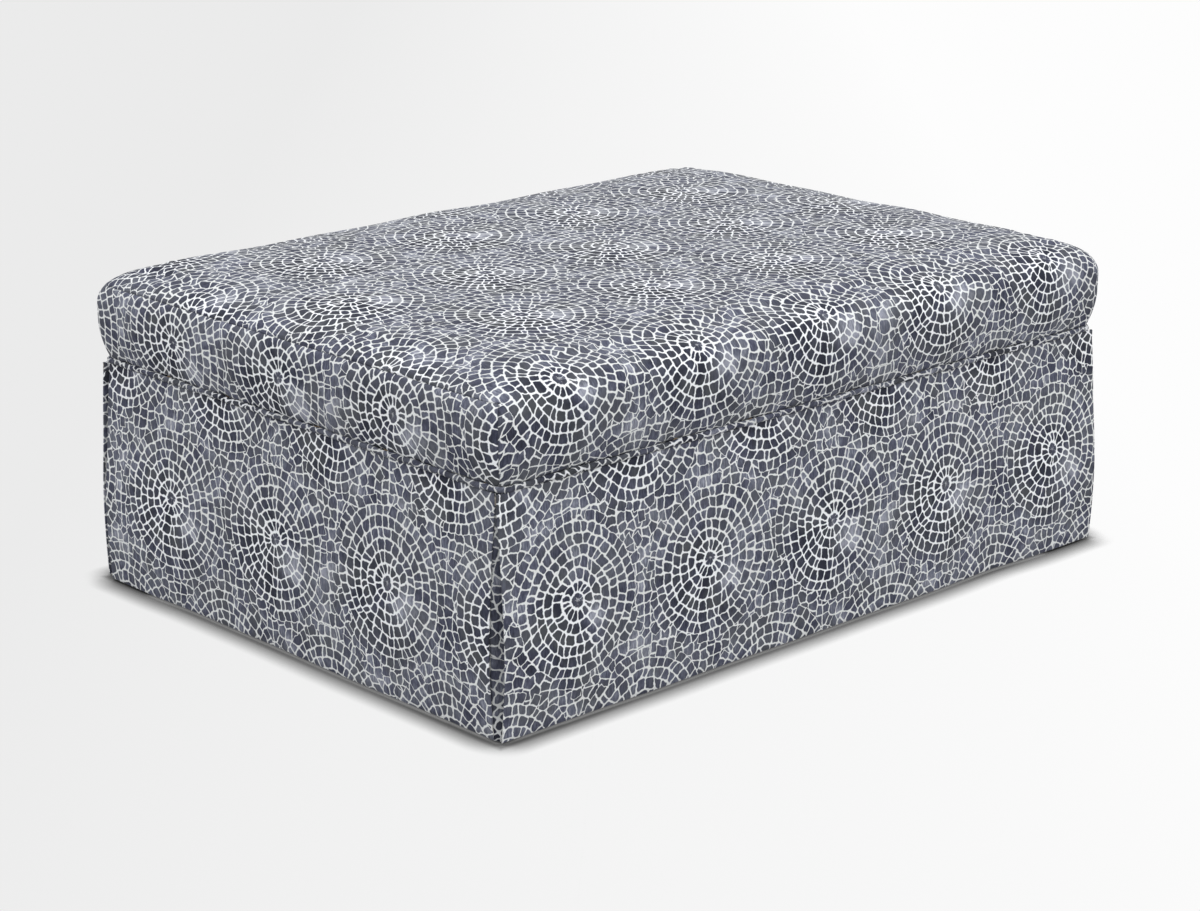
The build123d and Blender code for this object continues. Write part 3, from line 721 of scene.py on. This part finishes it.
def puckers(along, z):
    """Small gathers above the piping, and the longer pulls that fade up the side."""
    rise = np.maximum(z - tuck_top, 0)
    small = 0.7 * MM * np.exp(-rise / (13 * MM)) * ripple(along, (0.0173, 0.0241, 0.0337), 3)
    long = 0.8 * MM * np.exp(-rise / (42 * MM)) * ripple(along, (0.071, 0.113, 0.167), 5)
    return small + long


def grid_piece(name, grid, uv, materials, thickness, turned, offset=0.0):
    """A sheet on a grid, its faces turned over if asked, and its back in the last material."""
    faces = quads(numbers(grid))[:, ::-1 if turned else 1]
    made = mesh_piece(name, grid, faces, uv, materials)
    thicken(made, thickness, offset, len(materials) - 1)
    return made


def cover_piece(name, index, uv, shape, node, turned):
    """A panel of the cover: its grid of the blown form, made finer, shaped, and thickened."""
    grid, normal, uv = refine(points[index]), refine(normals[index]), refine(uv)
    normal /= np.linalg.norm(normal, axis=2, keepdims=True)
    grid = grid + normal * shape(grid, uv)[:, :, None]
    made = grid_piece(name, grid, uv, [print_face, print_back], COVER, turned, -1.0)
    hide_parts(node)


panel_i = np.concatenate([front_i[::-1], top_i[1:], rear_i[1:]])
panel_uv = cloth_lengths(cut_points[panel_i])
panel_middle = panel_i.shape[1] // 2
front_half = slice(len(levels) - 6, panel_i.shape[0] // 2)
edge_row_v = np.interp(EDGE_ROW_Y, cut_points[panel_i][front_half, panel_middle, 1],
                       panel_uv[front_half, panel_middle, 1])
panel_origin = np.array([-1 * MM, edge_row_v])


def panel_shape(grid, uv):
    """Seams at both ends, puckers above the piping, and a faint unevenness over the top."""
    u = uv[:, :, 0] + panel_origin[0]
    side = (1 - np.abs(u / u[:, -1:])) * np.abs(u[:, -1:])
    fade = np.clip(side / SEAM_FADE, 0, 1)
    low_down = grid[:, :, 2] < belly_z + 30 * MM
    pulled = np.where(low_down, puckers(u, grid[:, :, 2]), 0)
    soft = ripple(grid[:, :, 0], (0.23, 0.41), 7) * ripple(grid[:, :, 1], (0.19, 0.34), 9)
    return seam_groove(side) + fade * (pulled + 0.8 * MM * soft)


def boxing_shape(grid, uv):
    """Seams on three edges, and puckers above the piping."""
    u = uv[:, :, 0]
    side = (1 - np.abs(u / np.abs(u[:, -1:]))) * np.abs(u[:, -1:])
    down = uv[:1, :, 1] - uv[:, :, 1]
    fade = np.clip(side / SEAM_FADE, 0, 1)
    return seam_groove(np.minimum(side, np.maximum(down, 0))) + fade * puckers(u, grid[:, :, 2])


cover_piece("top_cover_panel", panel_i, panel_uv - panel_origin, panel_shape,
            "top_panel", True)
for name, index, sign in (("right_end_boxing", right_i, 1), ("left_end_boxing", left_i, -1)):
    uv = cloth_lengths(cut_points[index])
    middle = uv.shape[1] // 2
    level = np.interp(-BOXING_ROW_Z, -cut_points[index][:, middle, 2], uv[:, middle, 1])
    uv = np.stack([sign * uv[:, :, 0], level - uv[:, :, 1]], axis=-1)
    cover_piece(name + "_panel", index, uv, boxing_shape, name, sign < 0)


# Piping: a cord in a bias strip of the printed cloth, with a flat lip.
# It runs all round the seam, tacked to the rails, and the bias cloth creases across the cord.

WELT = 4 * MM
WELT_CORNER = 16.3 * MM
LIP = 0.9 * MM
low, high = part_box("welt_piping")
welt_z = high.z - WELT
lip_drop = welt_z - low.z


def around(half_x, half_y, radius, spacing):
    """Points and outward directions round a rounded rectangle, anticlockwise."""
    places, outs = [], []
    corners_at = ((1, -1, -90), (1, 1, 0), (-1, 1, 90), (-1, -1, 180))
    centres = [np.array([x * (half_x - radius), y * (half_y - radius)]) for x, y, _ in corners_at]
    for i, centre in enumerate(centres):
        angles = np.linspace(0, 90, int(math.pi / 2 * radius / spacing) + 3) + corners_at[i][2]
        arc = np.stack([np.cos(np.radians(angles)), np.sin(np.radians(angles))], axis=-1)
        end, goal = centre + radius * arc[-1], centres[(i + 1) % 4] + radius * arc[-1]
        steps = int(np.linalg.norm(goal - end) / spacing)
        share = (np.arange(1, steps) / steps)[:, None]
        places += [centre + radius * arc, end + share * (goal - end)]
        outs += [arc, np.repeat(arc[-1:], steps - 1, axis=0)]
    return np.concatenate(places), np.concatenate(outs)


places, outs = around(high.x - WELT, high.y - WELT, WELT_CORNER, 3 * MM)
run = lengths_along(places)
turns = np.radians(np.linspace(180, -150, 17))
bead = np.stack([np.cos(turns), np.sin(turns)], axis=-1) * WELT
lip = [[LIP - WELT, -WELT], [LIP - WELT, -lip_drop], [-WELT, -lip_drop], [-WELT, -WELT]]
section = np.concatenate([bead, lip])
crease = ripple(run, (0.0061, 0.0087, 0.0119), 11)
sway = ripple(run, (0.047, 0.083, 0.139), 13)
grid = np.zeros((len(run), len(section), 3))
for column, (out, up) in enumerate(section):
    on_bead = float(column < len(bead))
    twist = ripple(run + column * 1.7 * MM, (0.0073, 0.0103), 17)
    swell = 1 + on_bead * (0.05 * crease + 0.07 * twist)
    reach_out = out * swell + on_bead * 0.45 * MM * sway
    grid[:, column, :2] = places + outs * reach_out[:, None]
    grid[:, column, 2] = welt_z + up * swell + on_bead * 0.5 * MM * np.roll(sway, 40)
closed = np.pad(numbers(grid), (0, 1), mode="wrap")
length, wrap = np.meshgrid(run, lengths_along(section), indexing="ij")
bias = np.stack([length + wrap, length - wrap], axis=-1) * math.sqrt(0.5)
# The piping's print is darkened as painted shade
piping = mesh_piece("welt_piping_cord", grid, quads(closed)[:, ::-1], bias, [print_piping_painted_shade])
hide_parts("welt_piping")


# Tack strips: 1.2 mm laminated board that the skirt is back-tacked with.
# Grey-brown pressed fibre in cut lengths, hidden in the fold of the skirt.

# Pressed board is dull and finely flecked
board, add = new_material("pressed_fibre_tack_board")
specks = add("TexNoise", add("TexCoord", out="Object"), 700.0, 5.0)
surface(add, add("Mix RGBA", specks, "#5f5548", "#7d7264"), 0.85, specks, 0.3, 0.2 * MM)
finish_nodes([side + "_tack_strip" for side in ("front", "rear", "right", "left")], board)


# Skirt: four tailored panels of the printed cloth, each with a lining behind it.
# Back-tacked under the piping, turned in down the sides and up at the hem. They hang straight,
# with a slight outward fullness, and stop short of the corners to show the pleat behind.

CLOTH = 1 * MM
LINING = 0.6 * MM
EASE = 0.3 * MM
HEM_TURN = 25 * MM
HEM_RETURN = 2.5 * MM
SIDE_TURN = 20 * MM
strip_low, strip_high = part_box("front_tack_strip")
skirt_low, skirt_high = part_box("front_skirt_panel")
top_inset = belly_y + strip_low.y - EASE - CLOTH
back_inset = belly_y + strip_high.y + EASE
strip_bottom = strip_low.z
hem_z, fold_top = skirt_low.z, skirt_high.z
full_z = 0.4 * seam_z


def skirt_inset(z):
    """How far the skirt's face lies inside its fullest line at a height."""
    upper = z > full_z
    drop = np.where(upper, strip_bottom - full_z, full_z - hem_z)
    inset = np.where(upper, top_inset, HEM_RETURN)
    radius = (drop**2 + inset**2) / (2 * inset)
    off = np.minimum(np.abs(z - full_z), drop)
    return radius - np.sqrt(radius**2 - off**2)


def skirt_swing(along, z, half, seed, ends):
    """How far the cloth swings: soft folds that grow to the hem, and out beside the pleats."""
    loose = np.clip((strip_bottom - z) / (strip_bottom - hem_z), 0, 1)
    broad = ripple(along, (0.29, 0.43, 0.67), seed)
    corner = np.clip((half - np.abs(along)) / (150 * MM) - 0.75, 0, 1)
    free = corner**2 * (3 - 2 * corner)
    low_part = np.clip((235 * MM - z) / (130 * MM), 0, 1)
    near_hem = np.clip((85 * MM - z) / (85 * MM), 0, 1)
    stand = low_part**2 * (3 - 2 * low_part) * (1 - 0.4 * near_hem**2)
    stiff, pulled = [np.where(along < 0, ends[0][i], ends[1][i]) for i in (0, 1)]
    near_edge = 0.5 * MM * loose**1.2 + stiff * stand - pulled * near_hem
    below_fold = 0.35 * MM * np.exp(-np.maximum(fold_top - z, 0) / (16 * MM))
    gathers = below_fold * ripple(along, (0.019, 0.027, 0.041), seed + 2)
    hanging = loose**1.2 * 1.7 * MM * broad * free
    return hanging + (1 - free) * near_edge + gathers * np.clip(loose * 12, 0, 1)


# Each side's way along and way out, its fullest line, half its length, and how far its two ends
# stand out beside the pleat and are pulled in at the hem
FULL_END = (6.5 * MM, 0.0)
TUCKED_END = (2.5 * MM, 4.5 * MM)
SIDES = {
    "front": ((1, 0), (0, -1), belly_y, belly_x, (TUCKED_END, FULL_END)),
    "right": ((0, 1), (1, 0), belly_x, belly_y, (FULL_END, FULL_END)),
    "rear": ((-1, 0), (0, 1), belly_y, belly_x, (FULL_END, FULL_END)),
    "left": ((0, -1), (-1, 0), belly_x, belly_y, (FULL_END, TUCKED_END)),
}


def on_side(side, along, depth, z, seed):
    """Points on one side: a distance along it, a depth behind the fullest line, and a height."""
    (a_x, a_y), (n_x, n_y), out, half, ends = SIDES[side]
    away = out - depth + skirt_swing(along, z, half, seed, ends)
    return np.stack([a_x * along + n_x * away, a_y * along + n_y * away, z + 0 * along], axis=-1)


def turned_edges(half, roll):
    """Distances along a panel, and depths, with its turned-in side edges, left to right."""
    bends = np.radians(np.linspace(90, -90, 7))
    edge_along = [*(half - roll + roll * np.cos(bends)), half - 6 * MM, half - SIDE_TURN]
    edge_depth = [*(roll - roll * np.sin(bends)), 2 * roll, 2 * roll]
    inner = np.linspace(-(half - roll), half - roll, int(2 * half / (7 * MM)))[1:-1]
    along = np.concatenate([-np.array(edge_along[::-1]), inner, edge_along])
    return along, np.concatenate([edge_depth[::-1], 0 * inner, edge_depth])


def skirt_section():
    """Depth and height of the cloth's middle, from the tacked leg over the fold to the hem."""
    half_cloth, fold_low, hem_low = CLOTH / 2, fold_top - CLOTH, hem_z + 1.2 * CLOTH
    leg = [(back_inset + half_cloth, z) for z in np.linspace(strip_bottom, fold_low, 4)]
    leg += [(inset, fold_top - half_cloth) for inset in (back_inset, top_inset + CLOTH)]
    face_z = [*np.linspace(fold_low, strip_bottom, 6), *np.linspace(strip_bottom, hem_low, 46)[1:]]
    insets = [float(skirt_inset(z)) if z < strip_bottom else top_inset for z in face_z]
    face = [(inset + half_cloth, z) for inset, z in zip(insets, face_z)]
    hem = [(HEM_RETURN + half_cloth + 0.65 * MM, hem_z + half_cloth)]
    hem += [(float(skirt_inset(z)) + half_cloth + CLOTH + EASE, z)
            for z in np.linspace(hem_low, hem_z + HEM_TURN, 5)]
    return np.array(leg + face + hem), len(leg), len(leg) + len(face)


# Bleached cotton is a soft, even off-white, with its threads just to be seen
cotton = woven("bleached_cotton_lining", "#d8d4c9", "#e6e2d8", 1.1 * MM, 0.85, 0.3)

# The height of a row of rosettes on the skirt, and how far along each side one is centred
SKIRT_ROW_Z = 163.5 * MM
skirt_prints = {"front": 10 * MM, "left": -19 * MM, "rear": 62 * MM, "right": 40 * MM}
for seed, side in enumerate(("front", "right", "rear", "left")):
    axis = 0 if side in ("front", "rear") else 1
    low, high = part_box(side + "_skirt_panel")
    half = (high[axis] - low[axis]) / 2
    roll = 0.65 * MM if axis == 0 else 1.2 * MM
    along, depths = turned_edges(half, roll)
    section, face_from, face_to = skirt_section()
    a, z = np.meshgrid(along, section[:, 1], indexing="xy")
    grid = on_side(side, a, section[:, :1] + depths, z, seed)
    faces = quads(numbers(grid))

    # The turned-in sides are kept only behind the face, between the strip and the hem turning
    row, column = np.divmod(faces[:, 0], len(along))
    turning = (column < 9) | (column >= len(along) - 10)
    above_hem = section[row, 1] > hem_z + HEM_TURN + 2 * MM
    on_face = (row >= face_from + 5) & (row < face_to) & above_hem
    in_return = turning & (np.abs(depths[column]) + np.abs(depths[column + 1]) > roll * 1.2)
    used, faces = np.unique(faces[~in_return | on_face], return_inverse=True)
    lengths = lengths_along(section)
    row_v = np.interp(-SKIRT_ROW_Z, -section[face_from:face_to, 1], lengths[face_from:face_to])
    spread_u = lengths_along(np.stack([along, depths], axis=-1))
    spread_u -= spread_u[-1] / 2
    uv = np.meshgrid(spread_u - skirt_prints[side], row_v - lengths, indexing="xy")
    panel = mesh_piece(side + "_skirt_cloth", grid.reshape(-1, 3)[used], faces.reshape(-1, 4),
                       np.stack(uv, axis=-1).reshape(-1, 2)[used], [print_face, print_back])
    thicken(panel, 0.95 * CLOTH, 0.0, 1)
    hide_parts(side + "_skirt_panel")

    low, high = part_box(side + "_skirt_lining")
    half = (high[axis] - low[axis]) / 2
    along = np.linspace(-half, half, int(half / (7 * MM)))
    a, z = np.meshgrid(along, np.linspace(high.z, low.z, 30), indexing="xy")
    grid = on_side(side, a, skirt_inset(z) + 2 * (CLOTH + EASE) + LINING / 2, z, seed)
    uv = np.stack([a, z], axis=-1)
    lining = grid_piece(side + "_skirt_lining_cloth", grid, uv, [cotton], 0.9 * LINING, False)
    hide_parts(side + "_skirt_lining")


# Pleat underlays: a folded strip of the printed cloth behind each corner opening.
# Tacked in with the skirt, it bends round the corner and keeps the opening closed; its middle is
# tucked back into real shade, and its print is darkened further as painted shade.

UNDERLAY_REACH = 110 * MM
UNDERLAY_CORNER = 20 * MM
UNDERLAY_DEPTH = 2 * (CLOTH + EASE) + LINING + EASE + CLOTH / 2
TUCK = 7 * MM
x, y = belly_x - UNDERLAY_CORNER, belly_y - UNDERLAY_CORNER
straight = np.linspace(UNDERLAY_REACH, UNDERLAY_CORNER, 12)
angles = np.radians(np.linspace(0, 90, 9))
for corner in corners:
    low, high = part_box(corner + "_pleat_underlay")
    side_x, side_y = 1 if "right" in corner else -1, 1 if "rear" in corner else -1
    zs = np.linspace(high.z, low.z, 34)
    rows = []
    for z in zs:
        depth = float(skirt_inset(z)) + UNDERLAY_DEPTH
        tuck = TUCK * math.sin(math.pi * min(max((250 * MM - z) / (247 * MM), 0), 1)) ** 0.7
        radii = UNDERLAY_CORNER - depth - tuck * np.sin(2 * angles)
        path = [(belly_x - depth, belly_y - back) for back in straight[:-1]]
        path += [(x + r * math.cos(t), y + r * math.sin(t)) for r, t in zip(radii, angles)]
        path += [(belly_x - back, belly_y - depth) for back in straight[::-1][1:]]
        rows.append([(*at, z) for at in path])
    grid = np.array(rows)
    run = cloth_lengths(grid)[:, :, 0]
    uv = np.stack([run * side_x * side_y + 28 * MM, zs[:, None] + 0 * run], axis=-1)
    underlay = grid_piece(corner + "_pleat_underlay_cloth", grid * [side_x, side_y, 1], uv,
                          [print_pleat_painted_shade, print_back], 0.9 * CLOTH, side_x != side_y)
    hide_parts(corner + "_pleat_underlay")


# Dust cover: black spunbonded cambric stapled under the rails, cut out round the legs.
# It closes the underside, and is stretched flat.

CAMBRIC = 0.5 * MM
CORNER_CUT = 109 * MM
low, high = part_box("dust_cover")


def at_legs(x, y):
    """Whether a place lies in one of the corner cut-outs."""
    return (np.abs(x) > high.x - CORNER_CUT) & (np.abs(y) > high.y - CORNER_CUT)


# Spunbonded cambric is a dead black felted sheet, pressed in a fine grid
cambric = woven("spunbonded_black_cambric", "#1d1d1f", "#2c2c2f", 1.0 * MM, 0.9, 0.3)
dust = flat_sheet("dust_cover_sheet", cambric, low, high, low.z + 0.1 * MM,
                  CORNER_CUT / 7, 0.0, at_legs)
thicken(dust, CAMBRIC, 1.0)
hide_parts("dust_cover")


# Floor, light and camera: a white floor with a soft shadow close round the hem.
# The floor and the backdrop go from pale grey on the left to white on the right.

CAMERA = Vector((-2.71362, -2.87264, 1.37190))
TARGET = Vector((-0.16457, -0.15733, 0.2285))
LENS = 83.49
FLOOR = 30.0
across_view = (TARGET - CAMERA).cross(Vector((0, 0, 1))).normalized()


def grey_to_white(add, place, reach):
    """Pale grey at the left of the view, going to white at the right."""
    share = add("VectorMath DOT_PRODUCT", place, tuple(across_view))
    return add("Mix RGBA", add("MapRange", share, -reach, reach), "#ebebeb", "#fdfdfd")


# The camera sees the floor in its plain tone with a shadow at the hem, and the lamps a matt grey
floor_material, add = new_material("white_studio_floor")
place = add("TexCoord", out="Object")
# The hem shadow is painted into the floor's glow: darker where ambient occlusion finds the object
# close
open_share = add("AmbientOcclusion", out="AO", Distance=42 * MM, samples=16)
closed_share = add("SUBTRACT", 1.0, open_share)
contact = add("POWER", add("MULTIPLY_ADD", closed_share, -1.16, 1.0), 2.2)
ways = [add("ABSOLUTE", way) for way in add("SeparateXYZ", place).node.outputs[:2]]
beyond = [add("SUBTRACT", way, half) for way, half in zip(ways, (belly_x, belly_y))]
# Painted shadow, darker inside the hem's line in plan and fading out 8 mm beyond it
painted_shadow_at_hem = add("MapRange", add("MAXIMUM", *beyond), -1 * MM, 8 * MM, 0.5)
contact = add("MULTIPLY", contact, painted_shadow_at_hem)
seen = add("VectorMath SCALE", grey_to_white(add, place, 0.9), contact)
matt = add("BsdfDiffuse", "#c8c8c8")
add("OutputMaterial", add("MixShader", add("LightPath"), matt, add("Emission", seen, 1.0)))
floor_mesh = bpy.data.meshes.new("studio_floor")
floor_corners = [(-FLOOR, -FLOOR, 0), (FLOOR, -FLOOR, 0), (FLOOR, FLOOR, 0), (-FLOOR, FLOOR, 0)]
floor_mesh.from_pydata(floor_corners, [], [(0, 1, 2, 3)])
floor_mesh.materials.append(floor_material)
floor = new_object("studio_floor", floor_mesh)

world = bpy.data.worlds.new("studio_backdrop")
world.use_nodes = True
scene.world = world
world.node_tree.nodes.clear()
add = partial(add_node, world.node_tree)
backdrop = add("Background", grey_to_white(add, add("TexCoord", out="Generated"), 0.22), 1.0)
light = add("Background", "#f5f6f9", 0.6)
seen = add("LightPath")
rays = seen.node.outputs
for ray in ("Is Glossy Ray", "Is Transmission Ray"):
    seen = add("MAXIMUM", seen, rays[ray])
add("OutputWorld", add("MixShader", seen, light, backdrop))

for name, energy, size, tint, spot in (
    ("overhead_lamp", 2.2, 60, "#f6f8ff", (-0.62, -0.7, 2.1)),
    ("fill_lamp", 0.22, 80, "#ffffff", (0.2, -1.6, 1.3)),
):
    lamp = bpy.data.lights.new(name, "SUN")
    lamp.energy, lamp.angle, lamp.color = energy, math.radians(size), linear(tint)[:3]
    made = new_object(name, lamp)
    made.rotation_euler = (-Vector(spot)).to_track_quat("-Z", "Y").to_euler()

camera = new_object("camera", bpy.data.cameras.new("camera"))
camera.location = CAMERA
camera.rotation_euler = (TARGET - CAMERA).to_track_quat("-Z", "Y").to_euler()
camera.data.lens, camera.data.sensor_width = LENS, 36.0
camera.data.clip_end = 100.0
scene.camera = camera
scene.view_settings.view_transform = "Standard"
